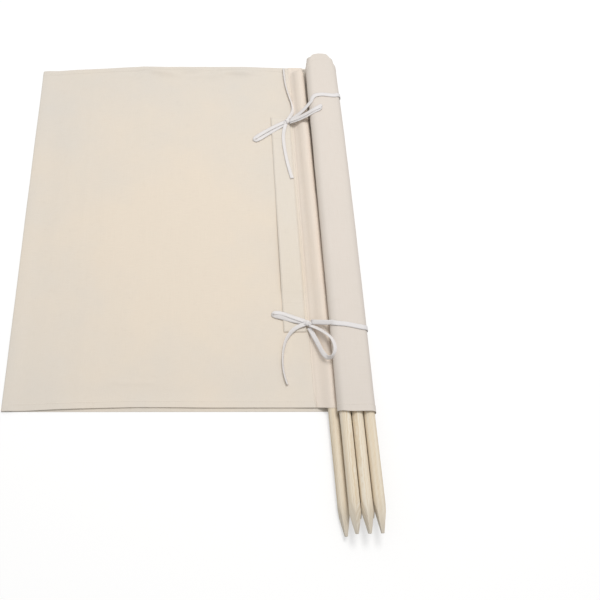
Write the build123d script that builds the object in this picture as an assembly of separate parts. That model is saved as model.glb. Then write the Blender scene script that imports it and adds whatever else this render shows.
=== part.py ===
from build123d import *
import math
import os

# Beach windbreak of cotton canvas on six pointed wooden poles, laid on the floor
# half unrolled: the outer bay is folded double and lies flat beside pole 1, and
# the other bays are rolled round poles 2 to 6. Millimetres, +Z up, +Y towards the
# closed ends of the pole sleeves. While it is built, X runs from the fold of the
# outer bay and Y from the hem line; at the end the part moves to its own origin.

# ---- poles ----
pole_count = 6
pole_length = 1200.0
pole_dia = 23.0
point_length = 60.0
point_flat = 5.0             # side of the blunt square end
point_turns = [12.0, 40.0, 28.0, 5.0, 60.0, 33.0]      # degrees, one a pole

# ---- canvas ----
cloth_height = 962.0
cloth_t = 0.6
bay_width = 653.0            # fold to the seam of pole 1's sleeve
seam_web = 20.25             # seam to the near side of pole 1's sleeve
layer_gap = 0.5              # between the two layers of the folded bay
lower_hem_y = -3.0
hem_skew = 7.0               # upper layer's hem drawn back from the lower one's
skew_run = 150.0             # over this distance from the fold
top_bow = 5.0                # rise of the top edge in the middle
fold_tuck = 6.0              # drop of the top edge at the fold
hem_width = 15.0
hem_t = 0.4
sleeve_play = 0.15           # between a pole and its sleeve
sleeve_gap = 0.2             # between neighbouring sleeves
sleeve_end = 23.0            # cloth past the flat ends of the poles
clearance = 0.3

# ---- roll ----
turn_count = 3
turn_t = 1.0                 # each turn here stands for several plies
turn_gap = 0.25
turn_step = 17.0             # each turn inward sits this much further up
roll_low_y = -26.0           # near edge of the outermost turn
roll_gap = 1.0               # pole 1's sleeve to the roll
low_row_shift = 32.0         # poles 5 and 6, rolled first, sit this much further up

# ---- carrying strap ----
strap_width = 50.0
strap_t = 1.5
strap_to_seam = 10.0
strap_to_hem = 180.0
strap_to_top = 164.0
strap_patch = 75.0           # end turned under and stitched down
strap_slope = 45.0           # run over which the slack rises
strap_slack = 1.5

# ---- tie tapes ----
tape_width = 12.0
tape_t = 0.8
loop_width = 16.0
knot_size = (20.0, 18.0, 8.0)
top_knot_to_seam = 19.5
top_knot_to_top = 179.0
low_knot_to_seam = 5.0
low_knot_to_hem = 203.6
band_tuck = 13.0             # band's hidden end, inward from pole 6

# ---- worked out ----
cloth_top_y = lower_hem_y + cloth_height
pole_top_y = cloth_top_y - sleeve_end
strap_low_y = lower_hem_y + strap_to_hem
strap_high_y = cloth_top_y - strap_to_top
top_knot = (bay_width - top_knot_to_seam, cloth_top_y - top_knot_to_top)
low_knot = (bay_width - low_knot_to_seam, lower_hem_y + low_knot_to_hem)
sleeve_r = pole_dia / 2 + sleeve_play + cloth_t
pitch = 2 * sleeve_r + sleeve_gap
upper_z = cloth_t + layer_gap
flap_top = upper_z + cloth_t
upper_hem_y = lower_hem_y + hem_skew
fold_r = flap_top / 2
patch_top = flap_top + 2 * strap_t
turn_space = turn_t + turn_gap
roll_r = sleeve_r + turn_count * turn_space
roll_base = tape_t + clearance
pole_1_x = bay_width + seam_web + sleeve_r
pole_1_z = cloth_t + clearance + sleeve_r
slant = math.radians(60)                            # rolled poles nest in a triangle
low_row_z = roll_base + roll_r
high_row_z = low_row_z + pitch * math.sin(slant)
reach = sleeve_r + roll_r + roll_gap
pole_5_x = pole_1_x + (reach - (low_row_z - pole_1_z) * math.cos(slant)) / math.sin(slant)
high_row = [(pole_5_x + (i - 0.5) * pitch, high_row_z) for i in range(3)]
low_row = [(pole_5_x + i * pitch, low_row_z) for i in range(2)]
rolled_poles = high_row + low_row
pole_places = [(pole_1_x, pole_1_z)] + rolled_poles
pole_shifts = [0.0] * (pole_count - len(low_row)) + [low_row_shift] * len(low_row)
lower_end_x = pole_5_x + sleeve_r / 2
roll_right = high_row[-1][0] + roll_r
strap_right = bay_width - strap_to_seam
strap_left = strap_right - strap_width
tangent = math.atan2(pole_1_z - flap_top, pole_1_x - bay_width)
tangent += math.asin(sleeve_r / math.hypot(pole_1_z - flap_top, pole_1_x - bay_width))
low_knot_right = low_knot[0] + knot_size[0] / 2
top_knot_z = patch_top + clearance
low_knot_z = max(patch_top, flap_top + (low_knot_right - bay_width) * math.tan(tangent))
low_knot_z += clearance

# Routes of the tapes in plan, from the knot's centre; the tails also have their height.
# Each tail leaves a face of its knot square on and ends bare.
tail_routes = {
    "tie_top_tail_up": (top_knot, [
        (-2.5, 9.0, 9.0), (-2.5, 20.0, 9.0), (3.5, 36.0, 6.0), (9.5, 54.0, 3.6),
        (10.0, 74.0, 3.1), (7.5, 100.0, 3.0), (5.1, 129.5, 3.0), (6.1, 157.0, 3.0),
        (7.5, 182.0, 3.0)]),
    "tie_top_tail_down": (top_knot, [
        (-3.5, -9.0, 9.0), (-3.5, -19.0, 9.0), (-6.0, -36.0, 7.4), (-7.0, -58.0, 7.0),
        (-5.5, -85.0, 6.9), (-3.0, -115.0, 6.9), (1.0, -144.0, 6.9), (4.5, -173.0, 6.9)]),
    "tie_low_tail": (low_knot, [
        (-10.0, -3.1, 10.2), (-21.0, -3.1, 10.2), (-34.0, -14.6, 8.2), (-43.5, -29.6, 6.0),
        (-50.0, -45.6, 4.0), (-54.5, -65.6, 3.0), (-56.8, -89.6, 2.9), (-55.8, -113.1, 2.9),
        (-52.6, -132.6, 2.9), (-50.0, -150.6, 2.9)]),
}
top_left_loop = [(0.0, -3.0), (-25.0, -15.0), (-46.0, -32.0), (-63.0, -45.0), (-81.0, -59.0)]
low_left_loop = [(0.0, 4.0), (-26.0, 13.0), (-48.0, 19.0), (-71.0, 24.0)]
top_right_loop = [[(0.0, 4.0), (24.0, 12.0), (50.0, 9.0), (72.0, 3.0), (92.0, 6.0)]]
low_right_loop = [
    [(0.0, -6.0), (26.0, -33.0), (41.0, -50.0), (47.0, -71.0), (49.0, -90.0), (40.0, -102.0)],
    [(48.0, -98.0), (29.0, -101.0), (22.0, -82.0), (18.0, -60.0), (12.0, -38.0), (0.0, -4.0)]]
top_band = [[(0.0, 0.0), (66.0, 37.0), (roll_right + tape_width - top_knot[0], 59.0)]]
low_band = [[(0.0, 0.0), (52.0, -25.0), (roll_right + tape_width - low_knot[0], -38.0)]]


def along_y(section, start, end):
    """Section drawn in X and Z, run from start to end along Y."""
    plane = Plane(origin=(0, start, 0), x_dir=(1, 0, 0), z_dir=(0, -1, 0))
    return extrude(plane * section, end - start, dir=(0, 1, 0))


def block(low, high):
    size = [high[i] - low[i] for i in range(3)]
    middle = [(high[i] + low[i]) / 2 for i in range(3)]
    return Pos(*middle) * Box(*size)


def slab(outline, bottom, thickness):
    return extrude(Pos(0, 0, bottom) * outline, thickness, dir=(0, 0, 1))


def hull_of(circles):
    """Convex outline round circles given as (x, z, radius)."""
    rims = [(Pos(x, z) * Circle(radius)).edge() for x, z, radius in circles]
    return make_hull(rims)


def pole_square(y, side, turn):
    plane = Plane(origin=(0, y, 0), x_dir=(1, 0, 0), z_dir=(0, 1, 0))
    return (plane * Rot(0, 0, turn) * Rectangle(side, side)).face()


def pole(place, shift, turn):
    """Round pole with a point of four flat cuts and a blunt end."""
    top = pole_top_y + shift
    end = top - pole_length
    shoulder = end + point_length
    shaft = along_y(Circle(pole_dia / 2), shoulder, top)
    faces = [pole_square(end, point_flat, turn), pole_square(shoulder, pole_dia, turn)]
    cuts = loft(faces, ruled=True)
    point = cuts & along_y(Circle(pole_dia / 2), end, shoulder)
    return Pos(place[0], 0, place[1]) * (shaft + point)


def upper_outline():
    """Upper layer of the folded bay, its top edge bowed and short at the fold."""
    far_right = (bay_width, cloth_top_y + top_bow)
    far_left = (fold_r, cloth_top_y - fold_tuck)
    low_edge = Polyline((fold_r, lower_hem_y), (skew_run, upper_hem_y), (bay_width, upper_hem_y))
    right_edge = Line((bay_width, upper_hem_y), far_right)
    top_edge = ThreePointArc(far_right, (bay_width / 2, cloth_top_y + 2 * top_bow), far_left)
    left_edge = Line(far_left, (fold_r, lower_hem_y))
    return make_face([*low_edge.edges(), right_edge, top_edge, left_edge])


def folded_bay():
    top = cloth_top_y - fold_tuck
    upper = slab(upper_outline(), upper_z, cloth_t)
    lower = block((fold_r, lower_hem_y, 0), (lower_end_x, top, cloth_t))
    ring = Circle(fold_r) - Circle(fold_r - cloth_t)
    half = ring & (Pos(-fold_r, 0) * Rectangle(2 * fold_r, 4 * fold_r))
    fold = along_y(Pos(fold_r, fold_r) * half, lower_hem_y, top)
    return upper + lower + fold


def bay_hem(direction):
    """Turned strip along the near (+1) or far (-1) edge of the upper layer."""
    outline = upper_outline()
    strip = outline - Pos(0, direction * hem_width) * outline
    return slab(strip, flap_top, hem_t)


def sleeve_1():
    """End sleeve: a tube round pole 1, drawn together at the seam."""
    rim = [(bay_width + cloth_t / 2, upper_z + cloth_t / 2, cloth_t / 2)]
    outer = hull_of([(pole_1_x, pole_1_z, sleeve_r)] + rim)
    tip = [(bay_width + seam_web / 4, flap_top + cloth_t, cloth_t / 3)]
    inner = hull_of([(pole_1_x, pole_1_z, sleeve_r - cloth_t)] + tip)
    tube = along_y(outer - inner, upper_hem_y, pole_top_y + clearance)
    far = pole_top_y + clearance
    top = cloth_top_y + top_bow
    height = pole_1_z + sleeve_r
    fall = Polyline((far, 0), (far, height), (far + hem_width, height / 4),
                    (top, flap_top + cloth_t), (top, 0), close=True)
    wedge = extrude(Plane.YZ * make_face(fall.edges()), 2 * pole_1_x)
    closed_end = along_y(outer, far, top) & wedge
    return tube, closed_end


def rolled_sleeve(place, shift):
    """Sleeve of a rolled pole, closed past the pole's flat end."""
    start = roll_low_y + turn_count * turn_step - turn_step / 2
    outer = along_y(Circle(sleeve_r), start, pole_top_y + clearance + cloth_t)
    inner = along_y(Circle(sleeve_r - cloth_t), start, pole_top_y + clearance)
    return Pos(place[0], shift, place[1]) * (outer - inner)


def roll_section(offset):
    return hull_of([(x, z, sleeve_r + offset) for x, z in rolled_poles])


def roll_turn(index):
    """One turn of the roll, counted from the outermost."""
    offset = (turn_count - index) * turn_space
    section = roll_section(offset) - roll_section(offset - turn_t)
    start = roll_low_y + index * turn_step
    return along_y(section, start, start + cloth_height)


def roll_core():
    """Wound plies past the high row's closed sleeves, at the roll's far end."""
    start = pole_top_y + 2 * clearance + cloth_t
    end = roll_low_y + (turn_count - 1) * turn_step + cloth_height
    body = along_y(roll_section(0), start, end)
    for x, z in low_row:
        sleeve_room = along_y(Circle(sleeve_r + clearance), start, start + low_row_shift)
        body -= Pos(x, 0, z) * sleeve_room
    return body.solids().sort_by(SortBy.VOLUME)[-1]


def roll_hem(start):
    offset = turn_count * turn_space
    section = roll_section(offset + hem_t) - roll_section(offset)
    return along_y(section, start, start + hem_width)


def carry_strap():
    """Webbing sewn flat at both ends, its long middle a little slack."""
    low_z = flap_top + 1.5 * strap_t
    high_z = low_z + strap_slack
    low_in = strap_low_y + strap_patch
    high_in = strap_high_y - strap_patch
    line = Polyline((strap_low_y, low_z), (low_in, low_z), (low_in + strap_slope, high_z),
                    (high_in - strap_slope, high_z), (high_in, low_z), (strap_high_y, low_z))
    profile = trace(line, line_width=strap_t)
    return Pos(strap_left, 0, 0) * extrude(Plane.YZ * profile, strap_width)


def strap_end(start):
    low = (strap_left, start, flap_top)
    return block(low, (strap_right, start + strap_patch, flap_top + strap_t))


def knot(centre, base):
    x, y = centre
    low = (x - knot_size[0] / 2, y - knot_size[1] / 2, base)
    return block(low, (low[0] + knot_size[0], low[1] + knot_size[1], base + knot_size[2]))


def radii(points):
    """Fillet radius at each inner point, as large as its two runs allow."""
    found = []
    for before, here, after in zip(points, points[1:], points[2:]):
        run_in = Vector(*here) - Vector(*before)
        run_out = Vector(*after) - Vector(*here)
        half_turn = math.radians(run_in.get_angle(run_out)) / 2
        found.append(0.45 * min(run_in.length, run_out.length) / math.tan(half_turn))
    return found


def plan_strip(centre, offsets, width):
    """Tape outline in plan along offsets from a knot's centre."""
    points = [(centre[0] + x, centre[1] + y) for x, y in offsets]
    return trace(FilletPolyline(*points, radius=radii(points)), line_width=width)


def over_roll(centre, base, strands, lift, thickness):
    """Tape from the knot up over the roll and down its far side."""
    start_x = centre[0] + knot_size[0] / 2 - 2
    start_z = base + knot_size[2] / 4

    def skin(extra):
        knot_end = [(start_x, start_z, 0.5 + extra)]
        return hull_of([(x, z, roll_r + extra) for x, z in rolled_poles] + knot_end)

    section = skin(lift + thickness) - skin(lift)
    shell = along_y(section, lower_hem_y, cloth_top_y)
    strips = [plan_strip(centre, strand, tape_width) for strand in strands]
    tall = Part() + [slab(strip, -tape_t, 2 * high_row_z) for strip in strips]
    under = block((0, lower_hem_y, -tape_t), (pole_5_x + pitch - band_tuck, cloth_top_y, start_z))
    body = shell & tall
    body -= under
    body -= knot(centre, base)
    return body.solids().sort_by(SortBy.VOLUME)[-1]


def flat_loop(centre, base, offsets):
    """Loop pressed flat, both strands of the tape one on the other."""
    body = slab(plan_strip(centre, offsets, loop_width), base, 2 * tape_t)
    return body - knot(centre, base)


def tail(points):
    """Free end of a tape: flat section along straight runs and tangent arcs."""
    bends = radii(points)
    path = FilletPolyline(*points, radius=bends)
    along = path % 0
    across = Vector(0, 0, 1).cross(along)
    section = Plane(origin=path @ 0, x_dir=across, z_dir=along) * Rectangle(tape_width, tape_t)
    body = sweep(section, path=path)
    share = body.volume / (path.length * tape_width * tape_t)
    print("tail: length", round(path.length, 1), "volume share", round(share, 4),
          "radii", [round(bend, 1) for bend in bends])
    return body


def build():
    nodes = {"bay_cloth": folded_bay(), "bay_hem_low": bay_hem(1), "bay_hem_top": bay_hem(-1)}
    for i in range(pole_count):
        nodes[f"pole_{i + 1}"] = pole(pole_places[i], pole_shifts[i], point_turns[i])
    nodes["sleeve_1"], nodes["sleeve_1_closed_end"] = sleeve_1()
    for i in range(1, pole_count):
        nodes[f"sleeve_{i + 1}"] = rolled_sleeve(pole_places[i], pole_shifts[i])
    for i in range(turn_count):
        nodes[f"roll_turn_{i + 1}"] = roll_turn(i)
    nodes["roll_core_top"] = roll_core()
    nodes["roll_hem_low"] = roll_hem(roll_low_y)
    nodes["roll_hem_top"] = roll_hem(roll_low_y + cloth_height - hem_width)
    nodes["carry_strap"] = carry_strap()
    nodes["strap_end_low"] = strap_end(strap_low_y)
    nodes["strap_end_top"] = strap_end(strap_high_y - strap_patch)
    ties = [("top", top_knot, top_knot_z, top_band, top_left_loop, top_right_loop),
            ("low", low_knot, low_knot_z, low_band, low_left_loop, low_right_loop)]
    for name, centre, base, band, left_loop, right_loop in ties:
        loop_lift = tape_t + 2 * clearance
        nodes[f"tie_{name}_knot"] = knot(centre, base)
        nodes[f"tie_{name}_band"] = over_roll(centre, base, band, clearance, tape_t)
        nodes[f"tie_{name}_loop_left"] = flat_loop(centre, base, left_loop)
        nodes[f"tie_{name}_loop_right"] = over_roll(centre, base, right_loop, loop_lift, 2 * tape_t)
    boxes = [solid.bounding_box() for solid in nodes.values()]
    middle_x = (min(box.min.X for box in boxes) + max(box.max.X for box in boxes)) / 2
    middle_y = (min(box.min.Y for box in boxes) + max(box.max.Y for box in boxes)) / 2
    move = Pos(-middle_x, -middle_y, -min(box.min.Z for box in boxes))
    print("fold and hem line at", round(-middle_x, 3), round(-middle_y, 3))
    for name, (centre, offsets) in tail_routes.items():
        nodes[name] = tail([(centre[0] + x, centre[1] + y, z) for x, y, z in offsets])
    return {name: move * solid for name, solid in nodes.items()}


os.makedirs("parts", exist_ok=True)
for name, solid in build().items():
    export_step(solid, f"parts/{name}.step")
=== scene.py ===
import bpy
import bmesh
import math
from mathutils import Matrix, Vector, noise
from mathutils.bvhtree import BVHTree


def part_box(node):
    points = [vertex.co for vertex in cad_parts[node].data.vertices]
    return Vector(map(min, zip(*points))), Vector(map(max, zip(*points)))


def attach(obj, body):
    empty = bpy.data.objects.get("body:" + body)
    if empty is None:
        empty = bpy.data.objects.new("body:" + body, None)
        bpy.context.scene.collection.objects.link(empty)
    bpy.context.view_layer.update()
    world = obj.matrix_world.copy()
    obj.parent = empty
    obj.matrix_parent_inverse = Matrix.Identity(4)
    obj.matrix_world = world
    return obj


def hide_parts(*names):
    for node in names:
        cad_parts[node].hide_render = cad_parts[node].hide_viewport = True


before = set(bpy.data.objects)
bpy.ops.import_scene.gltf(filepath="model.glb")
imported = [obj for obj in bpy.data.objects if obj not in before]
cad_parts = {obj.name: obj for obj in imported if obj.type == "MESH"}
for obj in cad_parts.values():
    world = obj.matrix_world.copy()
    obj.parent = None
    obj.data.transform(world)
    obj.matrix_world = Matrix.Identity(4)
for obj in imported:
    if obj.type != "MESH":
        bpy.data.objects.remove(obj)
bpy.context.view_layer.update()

scene = bpy.context.scene

# all pieces are laid out in millimetres from the corner where the fold meets the near hem line
underHemOut = 0.003  # metres that the lower layer's near hem lies outside the hem line
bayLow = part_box("bay_cloth")[0]
cornerY = bayLow.y + underHemOut
toFrame = Matrix.Translation((bayLow.x, cornerY, 0)) @ Matrix.Scale(0.001, 4)


def layPoint(x, y, z):
    # a place of the layout, in the frame's metres
    return toFrame @ Vector((x, y, z))


def newObject(name, data):
    made = bpy.data.objects.new(name, data)
    scene.collection.objects.link(made)
    return made


def meshObject(name, bm, material):
    mesh = bpy.data.meshes.new(name)
    bm.to_mesh(mesh)
    bm.free()
    mesh.materials.append(material)
    return newObject(name, mesh)


# looks down on the windbreak from near the pole points
cameraView = {
    "place": (0.0329, -0.8736, 1.4644),
    "tilt": (28.038, -3.467, -0.318),  # degrees about the camera's own x, y and z
    "lens": 44.19,
    "shift": 0.085,
}


def makeCamera():
    data = bpy.data.cameras.new("viewCamera")
    data.lens = cameraView["lens"]
    data.shift_x = cameraView["shift"]
    camera = newObject("viewCamera", data)
    turn = Matrix.Identity(4)
    for degrees, axis in zip(cameraView["tilt"], "XYZ"):
        turn = turn @ Matrix.Rotation(math.radians(degrees), 4, axis)
    camera.matrix_world = Matrix.Translation(cameraView["place"]) @ turn
    scene.camera = camera


makeCamera()
scene.view_settings.view_transform = "Standard"


# one soft lamp high beyond the far end, a white sky and a pale floor
skyLevel = 0.53
lampLook = {
    "place": (0.58, 0.8, 3.15),
    "aim": (0.0, 0.05, 0.0),
    "size": 1.3,
    "power": 54.5,
    "color": (1.0, 0.985, 0.965),
}
floorLook = {"halfSize": 6.0, "below": 0.0002, "grey": 0.55, "glow": 0.5}


def setInputs(tree, node, inputs):
    for key, value in inputs.items():
        if isinstance(value, bpy.types.NodeSocket):
            tree.links.new(value, node.inputs[key])
        else:
            node.inputs[key].default_value = value


def addNode(tree, kind, inputs=None, **settings):
    node = tree.nodes.new("ShaderNode" + kind)
    for key, value in settings.items():
        setattr(node, key, value)
    setInputs(tree, node, inputs or {})
    return node


def calc(tree, operation, a, b=0.0, c=0.0):
    return addNode(tree, "Math", {0: a, 1: b, 2: c}, operation=operation).outputs[0]


def seenRays(tree):
    # camera, glossy and transmission rays see the white room
    rays = addNode(tree, "LightPath").outputs
    seen = calc(tree, "MAXIMUM", rays["Is Camera Ray"], rays["Is Glossy Ray"])
    return calc(tree, "MAXIMUM", seen, rays["Is Transmission Ray"])


def newMaterial(name):
    material = bpy.data.materials.new(name)
    material.use_nodes = True
    return material, material.node_tree


def makeSky():
    world = bpy.data.worlds.new("room")
    scene.world = world
    world.use_nodes = True
    tree = world.node_tree
    level = calc(tree, "MULTIPLY_ADD", seenRays(tree), 1 - skyLevel, skyLevel)
    setInputs(tree, tree.nodes["Background"], {"Color": (1, 1, 1, 1), "Strength": level})


def makeLamp():
    lamp = bpy.data.lights.new("softLamp", "AREA")
    lamp.shape = "DISK"
    lamp.size = lampLook["size"]
    lamp.energy = lampLook["power"]
    lamp.color = lampLook["color"]
    lampObject = newObject("softLamp", lamp)
    aim = Vector(lampLook["aim"]) - Vector(lampLook["place"])
    facing = aim.to_track_quat("-Z", "Y").to_matrix().to_4x4()
    lampObject.matrix_world = Matrix.Translation(lampLook["place"]) @ facing


def makeFloor():
    bm = bmesh.new()
    bmesh.ops.create_grid(bm, x_segments=1, y_segments=1, size=floorLook["halfSize"])
    bmesh.ops.translate(bm, verts=bm.verts, vec=(0, 0, -floorLook["below"]))
    material, tree = newMaterial("paleFloor")
    glow = addNode(tree, "CombineColor", dict.fromkeys((0, 1, 2), seenRays(tree))).outputs[0]
    setInputs(tree, tree.nodes["Principled BSDF"], {
        "Base Color": (*[floorLook["grey"]] * 3, 1), "Roughness": 0.9, "Specular IOR Level": 0.0,
        "Emission Color": glow, "Emission Strength": floorLook["glow"]})
    floor = meshObject("floor", bm, material)


makeSky()
makeLamp()
makeFloor()
print("room ready")


def openGroup(name, inputs):
    # a group that takes Coords and the numbers named in inputs
    group = bpy.data.node_groups.new(name, "ShaderNodeTree")
    group.interface.new_socket("Coords", in_out="INPUT", socket_type="NodeSocketVector")
    for socketName, value in inputs.items():
        socket = group.interface.new_socket(socketName, in_out="INPUT", socket_type="NodeSocketFloat")
        socket.default_value = value
    return group, group.nodes.new("NodeGroupInput").outputs


def closeGroup(group, outputs):
    for socketName in outputs:
        group.interface.new_socket(socketName, in_out="OUTPUT", socket_type="NodeSocketFloat")
    setInputs(group, group.nodes.new("NodeGroupOutput"), outputs)
    return group


def softNoise(tree, coords, scale, detail=2.0, roughness=0.5):
    return addNode(tree, "TexNoise", {"Vector": coords, "Scale": scale, "Detail": detail,
                                      "Roughness": roughness}).outputs


def stretchedNoise(tree, coords, scale, detail=2.0):
    mapping = addNode(tree, "Mapping", {"Vector": coords, "Scale": scale})
    return softNoise(tree, mapping.outputs[0], 1.0, detail)["Fac"]


def spread(tree, value, low, high):
    # 0 at low and 1 at high
    return addNode(tree, "MapRange", {0: value, 1: low, 2: high}).outputs[0]


def clamped(tree, value):
    return addNode(tree, "Clamp", {0: value}).outputs[0]


def makeWeave():
    # plain weave, with thick places along both ways
    group, given = openGroup("plainWeave", {"Threads": 1500.0, "Slub": 0.5})
    axes = addNode(group, "SeparateXYZ", {0: given["Coords"]}).outputs
    rate = calc(group, "MULTIPLY", given["Threads"], math.pi)
    warp = calc(group, "SINE", calc(group, "MULTIPLY", axes["X"], rate))
    weft = calc(group, "SINE", calc(group, "MULTIPLY", axes["Y"], rate))
    over = calc(group, "MULTIPLY", warp, weft)
    slubs = calc(group, "ADD", stretchedNoise(group, given["Coords"], (30, 1100, 1)),
                 stretchedNoise(group, given["Coords"], (1100, 30, 1)))
    slubs = calc(group, "SUBTRACT", slubs, 1.0)
    height = calc(group, "MULTIPLY_ADD", over, 0.3, 0.5)
    return closeGroup(group, {"Height": calc(group, "MULTIPLY_ADD", slubs, given["Slub"], height),
                              "Shade": calc(group, "MULTIPLY_ADD", slubs, given["Slub"], 0.5)})


def makeTwill():
    # ribs in zigzag, as on twill tape
    group, given = openGroup("twillWeave", {"Ribs": 1400.0})
    axes = addNode(group, "SeparateXYZ", {0: given["Coords"]}).outputs
    lean = calc(group, "ADD", axes["X"], calc(group, "ABSOLUTE", axes["Y"]))
    ribs = calc(group, "SINE", calc(group, "MULTIPLY", lean, calc(group, "MULTIPLY", given["Ribs"], math.pi)))
    fuzz = stretchedNoise(group, given["Coords"], (900, 900, 900))
    return closeGroup(group, {"Height": calc(group, "MULTIPLY_ADD", ribs, 0.35, fuzz)})


def makeMottle():
    # broad uneven tone of unbleached cotton, with faint marks
    group, given = openGroup("mottle", {"Size": 6.0, "Marks": 0.3})
    broad = softNoise(group, given["Coords"], given["Size"], 3.0, 0.55)["Fac"]
    marks = softNoise(group, given["Coords"], 38.0, 5.0, 0.7)["Fac"]
    soil = calc(group, "MULTIPLY", spread(group, marks, 0.58, 0.75), given["Marks"])
    return closeGroup(group, {"Mask": spread(group, broad, 0.32, 0.68), "Soil": soil})


def makeGrain():
    # long grain along the pole, with streaks and small dark flecks
    group, given = openGroup("woodGrain", {"Rings": 130.0})
    bend = softNoise(group, given["Coords"], 3.0)["Color"]
    wander = addNode(group, "VectorMath", {0: bend, 1: (0.012, 0.0, 0.012)}, operation="MULTIPLY")
    bent = addNode(group, "VectorMath", {0: given["Coords"], 1: wander.outputs[0]}, operation="ADD")
    streak = stretchedNoise(group, bent.outputs[0], (170, 3.5, 170), 4.0)
    rings = addNode(group, "TexWave", {"Vector": bent.outputs[0], "Scale": given["Rings"],
                                       "Distortion": 3.0, "Detail": 2.0, "Detail Scale": 0.6},
                    wave_type="BANDS", bands_direction="X").outputs["Fac"]
    fleck = spread(group, stretchedNoise(group, given["Coords"], (1300, 60, 1300)), 0.6, 0.78)
    streak = calc(group, "MULTIPLY_ADD", rings, 0.35, calc(group, "MULTIPLY", streak, 0.75))
    height = calc(group, "SUBTRACT", streak, calc(group, "MULTIPLY", fleck, 0.4))
    return closeGroup(group, {"Streak": streak, "Fleck": fleck, "Height": height})


weaveGroup = makeWeave()
twillGroup = makeTwill()
mottleGroup = makeMottle()
grainGroup = makeGrain()


# colours, threads to the metre and depth of the weave
canvasLook = {
    # pale is the darker, greyer colour of the painted shade towards the edges, warm the colour of the lit
    # middle; the random mottle also mixes between them
    "pale": (0.748, 0.704, 0.642, 1),
    "warm": (0.835, 0.74, 0.622, 1),
    "soil": (0.6, 0.52, 0.43, 1),
    "threads": 1500.0,
    "bump": 0.25,
}
# painted light: the same canvas made lighter and warmer for the sleeve of pole 1, so that its slope looks
# less shaded
sleeveLitLook = dict(canvasLook, pale=(0.84, 0.76, 0.68, 1), warm=(0.885, 0.775, 0.665, 1))
# painted shade: the same canvas made darker and greyer for the roll
rollShadedLook = dict(canvasLook, pale=(0.735, 0.68, 0.622, 1), warm=(0.77, 0.704, 0.642, 1))
strapLook = {
    "pale": (0.79, 0.74, 0.672, 1),
    "warm": (0.8, 0.728, 0.628, 1),
    "soil": (0.58, 0.5, 0.41, 1),
    "threads": 900.0,
    "bump": 0.4,
}
tapeLook = {"white": (0.83, 0.806, 0.802, 1), "shade": (0.72, 0.7, 0.695, 1), "ribs": 1400.0}
threadLook = {"light": (0.74, 0.68, 0.6, 1), "dark": (0.54, 0.47, 0.39, 1)}
woodLook = {
    "pale": (0.865, 0.795, 0.67, 1),
    "brown": (0.75, 0.62, 0.44, 1),
    "fleck": (0.46, 0.34, 0.22, 1),
    "grey": (0.58, 0.54, 0.48, 1),
    "tip": 0.075,  # metres that the point's grey marks reach up the pole
}


def placeGroup(tree, group, inputs):
    return addNode(tree, "Group", inputs, node_tree=group).outputs


def mixColor(tree, factor, a, b):
    return addNode(tree, "Mix", {0: factor, 6: a, 7: b}, data_type="RGBA").outputs[2]


def dress(material, color, roughness, height, strength, distance, sheen=0.0):
    tree = material.node_tree
    bump = addNode(tree, "Bump", {"Height": height, "Strength": strength, "Distance": distance})
    setInputs(tree, tree.nodes["Principled BSDF"], {
        "Base Color": color, "Roughness": roughness, "Normal": bump.outputs[0], "Sheen Weight": sheen,
        "Sheen Roughness": 0.6, "Specular IOR Level": 0.2})
    return material


def makeCloth(name, look, litCenter, reach):
    # painted shade: warmer and brighter round the given middle (the bay's middle for the bay), paler, greyer
    # and darker out towards the edges, over the random mottle
    material, tree = newMaterial(name)
    flat = addNode(tree, "UVMap", uv_map="cloth").outputs[0]
    place = addNode(tree, "TexCoord").outputs["Object"]
    weave = placeGroup(tree, weaveGroup, {"Coords": flat, "Threads": look["threads"]})
    mottle = placeGroup(tree, mottleGroup, {"Coords": place})
    around = addNode(tree, "Mapping", {"Vector": place, "Location": litCenter, "Scale": reach},
                     vector_type="TEXTURE")
    # painted shade: a spherical gradient, highest at the given middle and falling off outwards, so the cloth
    # darkens towards its edges
    middle = addNode(tree, "TexGradient", {0: around.outputs[0]}, gradient_type="SPHERICAL")
    toneAndPaintedShade = calc(tree, "MULTIPLY", middle.outputs["Fac"], 1.1)
    toneAndPaintedShade = calc(tree, "MULTIPLY_ADD", mottle["Mask"], 0.45, toneAndPaintedShade)
    color = mixColor(tree, clamped(tree, toneAndPaintedShade), look["pale"], look["warm"])
    color = mixColor(tree, calc(tree, "MULTIPLY", mottle["Soil"], 0.35), color, look["soil"])
    shade = calc(tree, "MULTIPLY", calc(tree, "SUBTRACT", 0.62, weave["Shade"]), 0.5)
    color = mixColor(tree, clamped(tree, shade), color, look["soil"])
    roughness = calc(tree, "MULTIPLY_ADD", weave["Shade"], -0.12, 0.96)
    return dress(material, color, roughness, weave["Height"], look["bump"], 0.0004, 0.08)


def makeTape():
    material, tree = newMaterial("tape")
    flat = addNode(tree, "UVMap", uv_map="cloth").outputs[0]
    twill = placeGroup(tree, twillGroup, {"Coords": flat, "Ribs": tapeLook["ribs"]})
    mottle = placeGroup(tree, mottleGroup, {"Coords": flat, "Size": 40.0})
    tone = calc(tree, "MULTIPLY_ADD", mottle["Mask"], 0.35, calc(tree, "MULTIPLY", mottle["Soil"], 0.4))
    color = mixColor(tree, tone, tapeLook["white"], tapeLook["shade"])
    roughness = calc(tree, "MULTIPLY_ADD", twill["Height"], -0.1, 0.95)
    return dress(material, color, roughness, twill["Height"], 0.35, 0.0003, 0.1)


def makeThread():
    material, tree = newMaterial("thread")
    place = addNode(tree, "TexCoord").outputs["Object"]
    twist = stretchedNoise(tree, place, (900, 900, 900))
    color = mixColor(tree, twist, threadLook["light"], threadLook["dark"])
    return dress(material, color, 0.8, twist, 0.3, 0.0002)


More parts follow.
